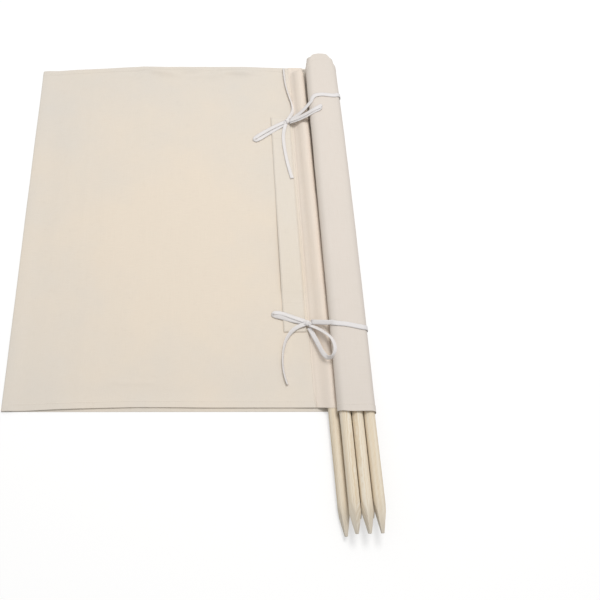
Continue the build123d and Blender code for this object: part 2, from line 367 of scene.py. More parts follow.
def makeWood(index, tipY):
    material, tree = newMaterial(f"poleWood{index + 1}")
    place = addNode(tree, "TexCoord").outputs["Object"]
    shift, turn = (index * 0.37, index * 0.81, 0), (0, index * 1.1, 0)  # no two poles alike
    shifted = addNode(tree, "Mapping", {"Vector": place, "Location": shift, "Rotation": turn})
    grain = placeGroup(tree, grainGroup, {"Coords": shifted.outputs[0]})
    streak = spread(tree, grain["Streak"], 0.36, 0.82)
    color = mixColor(tree, streak, woodLook["pale"], woodLook["brown"])
    color = mixColor(tree, calc(tree, "MULTIPLY", grain["Fleck"], 0.5), color, woodLook["fleck"])
    along = addNode(tree, "SeparateXYZ", {0: place}).outputs["Y"]
    tip = spread(tree, along, tipY + woodLook["tip"], tipY)
    tipMarks = calc(tree, "MULTIPLY", tip, calc(tree, "MULTIPLY_ADD", grain["Streak"], 0.8, 0.1))
    color = mixColor(tree, tipMarks, color, woodLook["grey"])
    roughness = calc(tree, "MULTIPLY_ADD", grain["Streak"], 0.25, 0.5)
    return dress(material, color, roughness, grain["Height"], 0.4, 0.0004)


# the bay's canvas, the sleeve of pole 1 and the strap take their painted shade round this middle of the bay
bayMiddle = tuple(layPoint(350, 390, 0))
canvas = makeCloth("canvas", canvasLook, bayMiddle, (0.45, 0.6, 1.0))
# painted light: a lighter copy of the canvas, for the sleeve of pole 1
sleeveLitCanvas = makeCloth("sleeveLitCanvas", sleeveLitLook, bayMiddle, (0.46, 0.62, 1.0))
# painted shade: lightest along the roll's middle, darker towards its sides and ends
rollShadedCanvas = makeCloth("rollShadedCanvas", rollShadedLook, tuple(layPoint(729, 420, 27)), (0.05, 0.7, 0.1))
webbing = makeCloth("webbing", strapLook, bayMiddle, (0.46, 0.62, 1.0))
tape = makeTape()
thread = makeThread()
print("materials ready")


def addPiece(name, bm, material, replaced=(), thickness=0.0):
    # moves the finished mesh from the layout to the frame; thickness gives cloth its wall
    bmesh.ops.transform(bm, matrix=toFrame, verts=bm.verts)
    piece = meshObject(name, bm, material)
    piece.data.shade_smooth()
    if thickness:
        wall = piece.modifiers.new("thickness", "SOLIDIFY")
        wall.thickness = thickness * 0.001
        wall.offset = 0.0
        wall.use_even_offset = True
    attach(piece, "root")
    if replaced:
        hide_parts(*replaced)
    return piece


def addCloth(name, bm, material, replaced, thickness):
    bmesh.ops.recalc_face_normals(bm, faces=bm.faces)
    return addPiece(name, bm, material, replaced, thickness)


def clothGrid(across, along, shape, flatSize, bm=None):
    # grid bent to shape(u, v); its UVs keep the flat cloth's own size in metres
    bm = bm or bmesh.new()
    layers = bm.loops.layers.uv
    uvLayer = layers.get("cloth") or layers.new("cloth")
    made = bmesh.ops.create_grid(bm, x_segments=across, y_segments=along, size=1.0)["verts"]
    flat = {vert: ((vert.co.x + 1) / 2, (vert.co.y + 1) / 2) for vert in made}
    for face in {face for vert in made for face in vert.link_faces}:
        for loop in face.loops:
            u, v = flat[loop.vert]
            loop[uvLayer].uv = (u * flatSize[0], v * flatSize[1])
    for vert, (u, v) in flat.items():
        vert.co = shape(u, v)
    return bm


def blend(value, low, high):
    # 0 below low, 1 above high, smooth between
    t = min(1.0, max(0.0, (value - low) / (high - low)))
    return t * t * (3 - 2 * t)


def between(value, points):
    # straight-line reading of a table of (place, value)
    for (x0, y0), (x1, y1) in zip(points, points[1:]):
        if value <= x1:
            return y0 + (y1 - y0) * (value - x0) / (x1 - x0)
    return points[-1][1]


def fadeInOut(amount, value, rise, fall):
    # amount, coming in over the range rise and going out over the range fall
    return amount * blend(value, *rise) * (1 - blend(value, *fall))


def ripple(x, y, wave):
    # smooth unevenness; a wave is (height, length in x, length in y, seed)
    height, lengthX, lengthY, seed = wave
    return height * noise.noise(Vector((x / lengthX, y / lengthY, seed)))


# the poles' CAD boxes and middles, in the layout
poleNodes = [f"pole_{number}" for number in range(1, 7)]
poleBoxes = [[toFrame.inverted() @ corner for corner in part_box(node)] for node in poleNodes]
poleCenters = [((low.x + high.x) / 2, (low.z + high.z) / 2) for low, high in poleBoxes]
endPoleLean = 0.01  # pole 1 leans towards the bay by this share of the way along it


def splinePoints(route):
    # the smooth line through a route, read back from a bare spline
    curve = bpy.data.curves.new("route", "CURVE")
    curve.dimensions = "3D"
    curve.resolution_u = 10
    spline = curve.splines.new("NURBS")
    spline.points.add(len(route) - 1)
    for point, place in zip(spline.points, route):
        point.co = (*place, 1.0)
    spline.order_u = 3
    spline.use_endpoint_u = True
    holder = bpy.data.objects.new("route", curve)
    line = bpy.data.meshes.new_from_object(holder)
    points = [vert.co.copy() for vert in line.vertices]
    bpy.data.objects.remove(holder)
    bpy.data.curves.remove(curve)
    bpy.data.meshes.remove(line)
    return points


# tape of the two ties, and their three free ends
tapeCut = {"tailWidth": 9, "loopWidth": 10.5, "bandWidth": 11, "thickness": 0.8, "cup": 0.03}
tailRoutes = {
    "tie_top_tail_up": [
        (637, 783, 9), (643, 792.5, 9), (650.3, 807, 8), (653, 823, 7), (651.2, 840.5, 6.5),
        (646.6, 861, 6.2), (641.2, 886, 6), (638, 909, 5.8), (636.5, 935, 5.7), (636.2, 966, 5.7)],
    "tie_top_tail_down": [
        (631, 769, 9), (625.5, 752.5, 7.6), (622.3, 731.5, 6.6), (622.4, 704, 6.2),
        (624.7, 676.5, 6), (628.3, 644.5, 5.8), (632.8, 618, 5.8), (637, 596.5, 5.8)],
    "tie_low_tail": [
        (640.5, 192.5, 10.2), (626, 188.5, 9), (609.4, 176.5, 8.2), (597, 158, 7.4), (590.8, 139, 6.8),
        (587.3, 119, 6.4), (586.2, 99, 6), (587.6, 79, 6), (590.4, 64.5, 6), (594, 52, 6)],
}
tailLeans = {
    "tie_top_tail_up": (15, 35, 48, 55, 50),  # degrees, from flat towards on edge
    "tie_top_tail_down": (0, 8, 15, 10, 5),
    "tie_low_tail": (20, 45, 60, 62, 60),
}


def tapeMesh(points, ups, width, bm=None):
    # tape along points; ups gives the way that its face looks at each of a few even steps
    lengths = [0.0]
    for a, b in zip(points, points[1:]):
        lengths.append(lengths[-1] + (b - a).length)
    steps = len(points) - 1

    def shape(u, v):
        index = round(v * steps)
        ahead = points[min(index + 1, steps)] - points[max(index - 1, 0)]
        spot = v * (len(ups) - 1)
        near = min(int(spot), len(ups) - 2)
        up = ups[near].lerp(ups[near + 1], spot - near)
        side = ahead.cross(up).normalized()
        cup = side.cross(ahead).normalized() * (tapeCut["cup"] * width * (1 - (2 * u - 1) ** 2))
        return points[index] + side * (u - 0.5) * width + cup

    return clothGrid(4, steps, shape, (width * 0.001, lengths[-1] * 0.001), bm)


def addTape(node, bm):
    return addPiece(node.replace("tie_", "tape_"), bm, tape, (node,), tapeCut["thickness"])


def makeTails():
    for name, route in tailRoutes.items():
        points = splinePoints(route)
        turns = [math.radians(lean) for lean in tailLeans[name]]
        ups = [Vector((math.sin(turn), 0, math.cos(turn))) for turn in turns]
        piece = addTape(name, tapeMesh(points, ups, tapeCut["tailWidth"]))


makeTails()
print("tape ends ready")


# the outer bay, one sheet folded double; edges are tables of (x, y), or (y, x) down the fold
bayCut = {
    "width": 653,
    "lowerEnd": 723,  # the lower layer goes on under pole 1
    "thickness": 0.6,
    "upperZ": 1.4,  # middle of the upper layer where it lies flat
    "lowerZ": 0.3,
    "hemWidth": 15,
    "hemRise": 0.5,
    "lowEdge": [(0, 2.2), (55, 2.9), (120, 4.9), (185, 6), (280, 6.8), (350, 5.4), (420, 3.6), (471, 2.9),
                (617, 0.8), (653, 0.4)],
    "topEdge": [(0, 943.5), (65, 952.5), (130, 957.8), (196, 962.6), (263, 969), (397, 970.6), (532, 973.5),
                (600, 972), (653, 970.5)],
    "underEdge": [(0, 2.2), (628, -7.1), (723, -8.5)],  # the lower layer's near hem
    "farBack": 12,  # the lower layer's far edge stays hidden by this much
    "foldEdge": [(28, 1.2), (313, 0.3), (532, -1.2), (918, -2.4)],
    "foldStart": 2.5,
    "foldOut": 2.2,
    "foldHeight": 4.2,
    "lip": 1.5,  # the lower layer's near hem bends up
}
bayWaves = {  # how far the upper layer stands up
    "broad": (1.4, 170, 210, 3),
    "small": (0.8, 60, 90, 7),
    "pressed": (0.5, 16, 420, 12),  # narrow folds along the poles, from being rolled up
    "least": 0.3,
    "quiet": (480, 585),  # they fade over these places towards the strap and ties
    "edge": (4, 70),  # and towards the fold
    "farLine": 949,  # a wave along the far hem has its middle here
    "far": 4,
    "farUneven": (8, 60, 20, 21),
    "nearHem": 2.1,
    "crease": 1.4,
    "creaseLine": 62,
    "creaseWander": (8, 60, 1, 2),
    "foldUneven": (0.5, 1, 130, 5),
}


def clothLift(x, y):
    # soft unevenness of the upper layer, quiet where the strap and ties lie
    waves = bayWaves
    uneven = abs(ripple(x, y, waves["broad"])) + ripple(x, y, waves["small"])
    uneven += ripple(x, y, waves["pressed"])
    lift = max(0.0, uneven + waves["least"]) * (1 - blend(x, *waves["quiet"])) * blend(x, *waves["edge"])
    farWave = fadeInOut(math.exp(-((y - waves["farLine"]) / 15) ** 2), x, (150, 300), (530, 620))
    lift += farWave * (waves["far"] + ripple(x, y, waves["farUneven"]))
    lift += waves["nearHem"] * (1 - blend(y, 2, 42)) * blend(x, 40, 130)
    fromCrease = y - waves["creaseLine"] - ripple(x, 0, waves["creaseWander"])
    lift += fadeInOut(waves["crease"] * math.exp(-(fromCrease / 4.0) ** 2), x, (205, 245), (290, 325))
    bulge = bayCut["foldHeight"] * math.exp(-((x - 9) / 22.0) ** 2)
    return max(0.0, lift) + bulge * (0.75 + ripple(0, y, waves["foldUneven"]))


def hemRise(distance):
    # the step of a turned hem, by the distance from the cloth's edge
    return bayCut["hemRise"] * (1 - blend(distance, bayCut["hemWidth"] - 0.8, bayCut["hemWidth"] + 0.4))


def upperZ(x, y):
    low = between(x, bayCut["lowEdge"])
    top = between(x, bayCut["topEdge"])
    return bayCut["upperZ"] + clothLift(x, y) + max(hemRise(y - low), hemRise(top - y))


def makeBay():
    # the grid runs from the sleeve's seam over the upper layer, round the fold and back below
    cut = bayCut
    edgeRows = [0.0, 1.0, 5.0, 10.0, 14.0, 14.6, 15.2, 16.0, 18.0, 24.0]
    middleRows = 96
    rows = edgeRows + [None] * middleRows + edgeRows[::-1]
    upperColumns, foldColumns, lowerColumns = 96, 8, 30
    columns = upperColumns + foldColumns + lowerColumns

    def rowPlace(index, low, top):
        # a row's y between two hems, with close rows along both
        if index < len(edgeRows):
            return low + edgeRows[index]
        if index >= len(edgeRows) + middleRows:
            return top - rows[index]
        share = (index - len(edgeRows) + 1) / (middleRows + 1)
        share -= 0.6 * math.sin(2 * math.pi * share) / (2 * math.pi)
        return low + edgeRows[-1] + share * (top - low - 2 * edgeRows[-1])

    def shape(u, v):
        column = round(u * columns)
        row = round(v * (len(rows) - 1))
        if column <= upperColumns:
            x = cut["width"] - (cut["width"] - cut["foldStart"]) * column / upperColumns
            y = rowPlace(row, between(x, cut["lowEdge"]), between(x, cut["topEdge"]))
            z = upperZ(x, y)
            return Vector((x + between(y, cut["foldEdge"]) * (1 - x / cut["width"]) ** 2, y, z))
        share = max(0, column - upperColumns - foldColumns) / lowerColumns
        farEdge = between(share * cut["width"], cut["topEdge"])
        farEdge -= fadeInOut(cut["farBack"], share, (0, 0.1), (0.86, 0.92))
        y = rowPlace(row, between(share * cut["lowerEnd"], cut["underEdge"]), farEdge)
        if column <= upperColumns + foldColumns:
            turn = math.pi * (column - upperColumns) / foldColumns
            top = upperZ(cut["foldStart"], y)
            middle = (top + cut["lowerZ"]) / 2
            x = cut["foldStart"] - cut["foldOut"] * math.sin(turn) + between(y, cut["foldEdge"])
            return Vector((x, y, middle + (top - middle) * math.cos(turn)))
        fold = between(y, cut["foldEdge"]) * (1 - share) ** 2
        x = cut["foldStart"] + (cut["lowerEnd"] - cut["foldStart"]) * share
        inward = y - between(x, cut["underEdge"])
        lip = fadeInOut(cut["lip"], inward, (0.5, 10), (14, 30))
        lip = fadeInOut(lip, x, (40, 130), (600, 640))
        return Vector((x + fold, y, cut["lowerZ"] + lip))

    flatWidth = (cut["width"] + cut["lowerEnd"] + 6) * 0.001
    bm = clothGrid(columns, len(rows) - 1, shape, (flatWidth, 0.962))
    nodes = ("bay_cloth", "bay_hem_low", "bay_hem_top")
    piece = addCloth("bayCloth", bm, canvas, nodes, cut["thickness"])


makeBay()
print("bay ready")


# the sleeve of pole 1, sewn to the bay at its seam and sewn shut past the pole's blunt end
sleeveCut = {
    "seamX": 652,
    "seamZ": 1.9,
    "radius": 12,
    "thickness": 0.6,
    "near": 1,
    "far": 970,
    "closeFrom": 937,
    "closedZ": 1.6,
    "sag": 1.6,  # of the slope between seam and pole
    "seamEdge": 0.5,  # rise of the turned-in cloth at the seam
    "wrinkles": ((0.5, 14, 70, 31), (0.5, 11, 55, 37)),  # sideways, and up and down
    "nearDraw": 0.42,  # the near edge draws back by this much of its height
    "leastZ": 1.2,
}


def sleeveSection():
    # from the seam up the slope, round the pole and back underneath
    cut = sleeveCut
    centerX, centerZ = poleCenters[0]
    radius = cut["radius"]
    seam = Vector((cut["seamX"], cut["seamZ"]))
    away = Vector((centerX, centerZ)) - seam
    touch = math.atan2(away.y, away.x) + math.asin(radius / away.length) + math.pi / 2
    under = -math.pi / 2

    def onPole(angle):
        return Vector((centerX + radius * math.cos(angle), centerZ + radius * math.sin(angle)))

    points = [Vector((cut["seamX"] - 4, 0.9)), Vector((cut["seamX"] - 2, 1.35))]
    for i in range(14):
        share = i / 14
        spot = seam.lerp(onPole(touch), share)
        spot.y -= cut["sag"] * math.sin(math.pi * share) ** 2
        spot.y += cut["seamEdge"] * math.exp(-((share - 0.12) / 0.08) ** 2)
        points.append(spot)
    points += [onPole(touch + (under - touch) * i / 24) for i in range(25)]
    back = Vector((centerX, 1.2)), Vector((cut["seamX"], 1.3))
    return points + [back[0].lerp(back[1], i / 6) for i in range(1, 7)]


def makeSleeveOne():
    cut = sleeveCut
    section = sleeveSection()
    rows = [0, 1, 4, 8, 11, 12, 13, 16] + [16 + (916 * i / 90) for i in range(1, 91)]
    rows += [936, 940, 944, 948, 952, 956, 960, 963, 965, 967, 969, 970, 971]

    def shape(u, v):
        spot = section[round(u * (len(section) - 1))]
        y = cut["near"] + rows[round(v * (len(rows) - 1))]
        x, z = spot
        slack = math.sin(math.pi * u) ** 2
        x += slack * ripple(u * 60, y, cut["wrinkles"][0])
        z += slack * ripple(u * 60, y, cut["wrinkles"][1])
        if u > 0.75:
            z = spot.y
        x -= endPoleLean * max(0.0, y) * min(1.0, max(0.0, x - cut["seamX"]) / 20)
        closing = blend(y, cut["closeFrom"], cut["far"] - 6)
        z = z + (cut["closedZ"] + (0.9 if u < 0.6 else 0.0) - z) * closing
        x = x - (x - cut["seamX"]) * 0.04 * closing
        y -= cut["nearDraw"] * max(0.0, z - 3) * (1 - blend(y, cut["near"], 90))
        return Vector((x, y, z if u < 0.05 else max(cut["leastZ"], z)))

    bm = clothGrid(len(section) - 1, len(rows) - 1, shape, (0.11, 0.962))
    nodes = ("sleeve_1", "sleeve_1_closed_end")
    piece = addCloth("sleeveOne", bm, sleeveLitCanvas, nodes, cut["thickness"])


makeSleeveOne()


# the roll, one sheet wound three turns inward round poles 2 to 6
rollCut = {
    "outer": 15.7,  # the outer turn's distance from the poles' middles
    "pitch": 1.25,  # from turn to turn
    "turns": 3,
    "outerTurn": 1.05,  # turns wound where the outermost one ends
    "near": -26,
    "height": 962,
    "thickness": 0.6,
    "middle": 729,
    "crown": (1.4, 42),  # rise along the middle, and half its width
    "nearStep": [(0, 0), (0.5, 0), (0.78, 8), (1, 12), (2, 29), (3, 46)],  # by turns wound
    "farLow": 7,  # the far edge stands out by this at the sides of the roll
    "farTop": 34,  # and by so much more on top
    "topFrom": (30, 50),  # on top is between these heights
    "topWithin": (20, 40),  # and within these distances of the axis
    "farStep": (17, 0.55),  # each turn inward stands out by this, counted from the second value
    "farMost": 41,
    "shoulder": (7, 731, 30),  # the far edge's draw back, the middle that it grows from, and its reach
    "rightBulge": [(-30, -1.6), (60, -1.2), (190, 0.3), (420, 2.2), (700, 2.6), (790, 1.8), (940, 0)],
    "wrinkles": ((0.5, 18, 150, 41), (0.35, 40, 45, 47)),
    "axis": (728, 26),
    "pinchFrom": 915,  # past the poles' ends the roll narrows towards its axis
    "pinch": (0.12, 0.16),  # by these shares of the way in x and z
    "leastZ": (0.65, 0.9),  # of the outer turn, and more for each turn inward
}


def hullStations():
    # round poles 2 to 6: (middle that the cloth bends about, angle that it looks out at)
    ring = [Vector(poleCenters[index]) for index in (5, 3, 1, 4)]  # counterclockwise
    stations = []
    for i, here in enumerate(ring):
        before, after = ring[i - 1], ring[(i + 1) % 4]
        arrive = math.atan2(*(here - before).yx) - math.pi / 2
        leave = math.atan2(*(after - here).yx) - math.pi / 2
        while leave < arrive:
            leave += 2 * math.pi
        arcSteps = max(3, round((leave - arrive) / math.radians(9)))
        for k in range(arcSteps + 1):
            stations.append((here, arrive + (leave - arrive) * k / arcSteps))
        straight = max(1, round((after - here).length / 5))
        for k in range(1, straight):
            stations.append((here.lerp(after, k / straight), leave))
    return stations


def rollCrown(x, outZ):
    rise, half = rollCut["crown"]
    return max(0.0, outZ) * rise * (1 - ((x - rollCut["middle"]) / half) ** 2)


def rollPoint(stations, index):
    # a place in the wound section, the turns up to it, and the way out of the roll
    middle, angle = stations[index % len(stations)]
    turn = index / len(stations)
    radius = rollCut["outer"] - rollCut["pitch"] * turn
    out = Vector((math.cos(angle), math.sin(angle)))
    spot = middle + out * radius
    return Vector((spot.x, 0, spot.y + rollCrown(spot.x, out.y))), turn, out


def makeRoll():
    # gives back pairs of rays onto the two hems, for their stitches
    cut = rollCut
    stations = hullStations()
    columns = len(stations) * cut["turns"]
    axisX, axisZ = cut["axis"]
    farStep, stepFrom = cut["farStep"]
    back, middle, reach = cut["shoulder"]
    rows = [0, 1, 5, 10, 13.6, 14.4, 15.2, 18] + [18 + 902 * i / 84 for i in range(1, 85)]
    rows += [924, 928, 932, 936, 940, 944, 947, 947.8, 948.6, 952, 957, 961, 962]

    def shape(u, v):
        index = round(u * columns)
        place, turn, out = rollPoint(stations, index)
        outermost = turn < cut["outerTurn"]
        shiftNear = between(turn, cut["nearStep"])
        top = blend(place.z, *cut["topFrom"]) * (1 - blend(abs(place.x - axisX), *cut["topWithin"]))
        shiftFar = max(cut["farLow"] + cut["farTop"] * top, farStep * (turn - stepFrom))
        shiftFar = min(cut["farMost"], shiftFar)
        shiftFar -= back * min(1.0, abs(place.x - middle) / reach) ** 2 * (1 if outermost else 0.6)
        share = rows[round(v * (len(rows) - 1))] / cut["height"]
        y = cut["near"] + shiftNear + (cut["height"] + shiftFar - shiftNear) * share
        place.y = y
        wrinkle = sum(ripple(u * 900, y, wave) for wave in cut["wrinkles"])
        if outermost:
            place.x += out.x * wrinkle
            place.z += max(-0.3, out.y * wrinkle)
            hem = hemRise(share * cut["height"]) + hemRise(cut["height"] - share * cut["height"])
            place.x += out.x * hem
            place.z += out.y * hem * (1 if out.y > -0.5 else 0)
        place.x += max(0.0, out.x) * between(y, cut["rightBulge"])
        pinch = (max(0.0, y - cut["pinchFrom"]) / 60) ** 2
        place.x += (axisX - place.x) * pinch * cut["pinch"][0]
        place.z += (axisZ - place.z) * pinch * cut["pinch"][1]
        place.z = max(cut["leastZ"][0] + cut["leastZ"][1] * turn, place.z)
        return place

    hemSpots = []
    for index in range(2, round(0.84 * len(stations))):
        out = rollPoint(stations, index)[2]
        out = Vector((out.x, 0, out.y))
        ends = [shape(index / columns, row / (len(rows) - 1)) for row in (4, len(rows) - 9)]
        hemSpots.append([(spot + out * 6, -out) for spot in ends])

    bm = clothGrid(columns, len(rows) - 1, shape, (0.63, 0.962))
    nodes = ("roll_turn_1", "roll_turn_2", "roll_turn_3", "roll_core_top", "roll_hem_low", "roll_hem_top")
    piece = addCloth("rolledCloth", bm, rollShadedCanvas, nodes, cut["thickness"])
    return hemSpots


rollHems = makeRoll()
print("roll ready")


# sleeves of poles 2 to 6, gathered shut past the blunt ends
rolledSleeveCut = {
    "radius": 11.95,
    "thickness": 0.6,
    "length": 920,
    "pastPole": 0.8,
    "gather": 6.5,
    "pleats": (9, 0.22),  # how many, and their depth as a share of the radius
    "uneven": (0.25, 1.5, 60),
}


def makeRolledSleeve(index):
    cut = rolledSleeveCut
    centerX, centerZ = poleCenters[index]
    far = poleBoxes[index][1].y + cut["pastPole"]
    near = far - cut["length"]
    rows = [near + cut["length"] * i / 50 for i in range(51)]
    rows += [far + cut["gather"] * i / 6 for i in range(1, 7)]
    pleats, depth = cut["pleats"]

    def shape(u, v):
        row = round(v * (len(rows) - 1))
        angle = 2 * math.pi * (u % 1.0)
        closing = blend(rows[row], far - 1, far + cut["gather"] + 1)
        gathers = 1 + depth * closing * math.sin(pleats * angle + index)
        radius = cut["radius"] * (1 - 0.985 * closing) * gathers
        radius += ripple(3 * math.cos(angle), rows[row], (*cut["uneven"], index * 9))
        edge = 1.5 * math.sin(angle + index) * (1 - blend(rows[row], near, near + 30))
        x, z = centerX + radius * math.cos(angle), centerZ + radius * math.sin(angle)
        return Vector((x, rows[row] + edge, z))

    bm = clothGrid(30, len(rows) - 1, shape, (0.075, 0.935))
    bmesh.ops.remove_doubles(bm, verts=bm.verts, dist=0.01)
    nodes = (f"sleeve_{index + 1}",)
    piece = addCloth(f"rolledSleeve{index + 1}", bm, canvas, nodes, cut["thickness"])


for poleIndex in range(1, 6):
    makeRolledSleeve(poleIndex)
print("sleeves ready")


# round poles with a point cut flat on four sides; turns are the points' angles, in degrees
poleCut = {
    "radius": 11.5,
    "point": 60,
    "tipHalf": 2.5,
    "turns": (12, 40, 28, 5, 60, 33),
    "edge": 0.45,
    "bevelOver": 14,  # edges sharper than this many degrees are rounded
    "sharpOver": 28,
}


def makePole(index):
    cut = poleCut
    low, high = poleBoxes[index]
    centerX, centerZ = poleCenters[index]
    bm = bmesh.new()
    bmesh.ops.create_cone(bm, cap_ends=True, segments=80, radius1=cut["radius"], radius2=cut["radius"],
                          depth=high.y - low.y)
    bmesh.ops.rotate(bm, verts=bm.verts, cent=(0, 0, 0), matrix=Matrix.Rotation(math.radians(90), 3, "X"))
    bmesh.ops.translate(bm, verts=bm.verts, vec=(centerX, (low.y + high.y) / 2, centerZ))
    for k in range(4):
        angle = math.radians(cut["turns"][index] + 90 * k)
        out = Vector((math.cos(angle), 0, -math.sin(angle)))
        slope = out * cut["point"] + Vector((0, cut["tipHalf"] - cut["radius"], 0))
        onPlane = Vector((centerX, low.y + cut["point"], centerZ)) + out * cut["radius"]
        made = bmesh.ops.bisect_plane(bm, geom=bm.verts[:] + bm.edges[:] + bm.faces[:], plane_co=onPlane,
                                      plane_no=slope.normalized(), clear_outer=True)
        rim = [item for item in made["geom_cut"] if isinstance(item, bmesh.types.BMEdge)]
        bmesh.ops.holes_fill(bm, edges=rim, sides=0)
    if index == 0:
        bmesh.ops.rotate(bm, verts=bm.verts, cent=(centerX, 0, centerZ),
                         matrix=Matrix.Rotation(math.atan(endPoleLean), 3, "Z"))
    bmesh.ops.recalc_face_normals(bm, faces=bm.faces)
    least = math.radians(cut["bevelOver"])
    sharp = [edge for edge in bm.edges if edge.is_manifold and edge.calc_face_angle() > least]
    bmesh.ops.bevel(bm, geom=sharp, offset=cut["edge"], offset_type="OFFSET", segments=2, profile=0.5,
                    affect="EDGES", material=-1, clamp_overlap=True)
    wood = makeWood(index, low.y * 0.001 + cornerY)
    piece = addPiece(f"pole{index + 1}", bm, wood, (poleNodes[index],))
    piece.data.set_sharp_from_angle(angle=math.radians(cut["sharpOver"]))


for poleIndex in range(6):
    makePole(poleIndex)
print("poles ready")


# the carry strap, sewn down at both ends and slack between them
strapCut = {
    "left": 593,
    "width": 50,
    "thickness": 1.4,
    "lowEnd": 177,
    "highEnd": 795,
    "inset": 0.7,  # half the thickness, taken off both ends
    "patch": 75,  # turned under at each end, and sewn
    "tuckedZ": 2.45,
    "foldZ": 3.2,
    "foldRadius": 0.75,
    "topZ": 3.95,
    "rise": [(252, 0), (257, -1.3), (263, 0.4), (268, -0.5), (277, 1), (300, 1.9), (360, 2.6), (430, 1.4),
             (480, 0), (540, -0.9), (640, -1.2), (700, -0.7), (720, 0)],
    "edgeLift": [(252, 0), (320, 1.6), (420, 2), (480, 0.8), (560, 0.3), (640, 0.3), (720, 0)],
    "sway": (0.35, 1, 45, 61),
    "uneven": (0.15, 30, 40, 63),
}


def strapZ(x, y):
    cut = strapCut
    if not cut["lowEnd"] + cut["patch"] < y < cut["highEnd"] - cut["patch"]:
        return cut["topZ"]
    u = (x - cut["left"]) / cut["width"]
    return cut["topZ"] + between(y, cut["rise"]) + between(y, cut["edgeLift"]) * (1 - u) ** 2


def makeStrap():
    cut = strapCut
    low, high = cut["lowEnd"] + cut["inset"], cut["highEnd"] - cut["inset"]
    under, foldZ, radius = cut["tuckedZ"], cut["foldZ"], cut["foldRadius"]
    step = 7.4
    bend = [math.pi * i / 6 for i in range(7)]
    path = [(low + cut["patch"] - i * step, under, 0) for i in range(10)]  # (y, z, on top or not)
    path += [(low + radius - radius * math.sin(turn), foldZ - radius * math.cos(turn), 0) for turn in bend]
    path += [(low + 4 + (high - low - 8) * i / 110, 0, 1) for i in range(111)]
    path += [(high - radius + radius * math.sin(turn), foldZ + radius * math.cos(turn), 0) for turn in bend]
    path += [(high - cut["patch"] + i * step, under, 0) for i in range(9, -1, -1)]

    def shape(u, v):
        y, z, onTop = path[round(v * (len(path) - 1))]
        x = cut["left"] + cut["width"] * u + ripple(0, y, cut["sway"])
        if onTop:
            z = strapZ(x, y) + ripple(x, y, cut["uneven"])
        return Vector((x, y, z))

    bm = clothGrid(12, len(path) - 1, shape, (0.05, 0.768))
    nodes = ("carry_strap", "strap_end_low", "strap_end_top")
    piece = addCloth("carryStrap", bm, webbing, nodes, cut["thickness"])


makeStrap()
print("strap ready")


# the ties: a band is (x, y); a left loop is (x, y, z), a right one (x, y, height over the band's line);
# ups are the ways that the tape's face looks along it; slant is the knot's turn in degrees
ties = {
    "top": {
        "knot": (634, 776.5, 5),
        "band": [(641, 780), (656, 783), (671, 787), (679, 789.5), (686.6, 800), (694, 812.5), (700, 819),
                 (711, 826), (719, 829), (733, 826), (747, 823), (757, 820), (765, 821), (775, 830),
                 (800, 850)],
        "leftLoop": [(629, 775, 9.2), (611, 766.5, 8), (592, 755, 7.2), (573, 742.5, 6.6), (556, 729.5, 6.2),
                     (547.5, 721, 6.4), (550.5, 717, 5.6), (560, 721.5, 4.2), (577, 735, 4),
                     (594, 747, 5), (611, 758, 6), (629, 769.5, 7.6)],
        "leftUps": [(0, 0.15, 1), (0, 0.2, 1), (-0.45, -0.35, 0.8), (0, -0.2, 1), (0, 0.1, 1)],
        "rightLoop": [
            (641, 777, 1.8), (656, 774, 1.9), (671, 772.5, 2.0), (686, 773.5, 2.2), (700, 776, 2.3),
            (711, 781.5, 2.4), (718, 785.5, 2.4), (719.5, 784.5, 1.6), (716, 780, 0.8), (709, 775, 0.8),
            (700, 771, 0.8), (686, 768, 0.8), (671, 767.5, 0.8), (656, 769, 0.8), (641, 773, 0.8)],
        "rightUps": [(0, 0, 1), (-0.4, 0, 1), (0, 0, 1), (1, 0, 0), (0, 0, -1), (0.4, 0, -1), (0, 0, -1)],
        "slant": 32.0,
    },
    "low": {
        "knot": (645.8, 195, 6),
        "band": [(654, 197.5), (665, 192), (676, 185.5), (687, 179), (696, 174), (704, 172), (719, 170.5),
                 (733, 168), (747, 164), (757, 160.5), (767, 159.5), (775, 163), (800, 175)],
        "leftLoop": [
            (640, 200, 10.4), (627, 205.5, 9.6), (608.7, 213.5, 8.6), (593, 220.5, 8.0), (577, 223.5, 7.6),
            (568, 221, 7.0), (573.5, 216.5, 6.2), (586, 213, 6.2), (601.6, 208, 6.6), (617, 202.5, 7.8),
            (638, 197.5, 9.4)],
        "leftUps": [(0, 0.2, 1), (0, 0.3, 1), (-1, 0.1, 0.5), (0, -0.5, 0.9), (0, -0.2, 1)],
        "rightLoop": [
            (652, 189.5, 1.5), (663.5, 177.5, 1.8), (675, 163, 2.2), (687, 145.5, 2.6), (693, 129.5, 2.6),
            (695, 113, 2.2), (692, 102, 1.6), (685.5, 97, 1.2), (677, 101.5, 0.8), (670, 117, 0.5),
            (665, 135, 0.4), (660, 152, 0.4), (654.5, 170, 0.5), (649.5, 185, 0.8)],
        "rightUps": [(0.2, 0.1, 1), (0.5, 0.1, 0.85), (0.3, -0.9, 0.5), (-0.7, 0, 0.7), (-0.3, 0, 1)],
        "slant": -22.0,
    },
}
bandCut = {
    "radius": 16.9,  # the band's distance from the poles' middles
    "end": 729,  # it ends here, under the roll
    "onTop": 22,  # places of a tight line up to the roll's far shoulder
    "backX": 774,  # from there on its table of y goes on by steps, not by x
    "backStep": 0.6,
    "leastZ": 0.8,
}
knotCut = {
    "half": 8,  # from the knot's middle to where the band leaves it, at startZ
    "startZ": 5,
    "ring": (6.2, 4.8, 4.6),  # half the turn's size in y and z, and its middle's z
    "ringWidth": 7.5,
    "puffWidth": 7,
    "underWidth": 10,
}


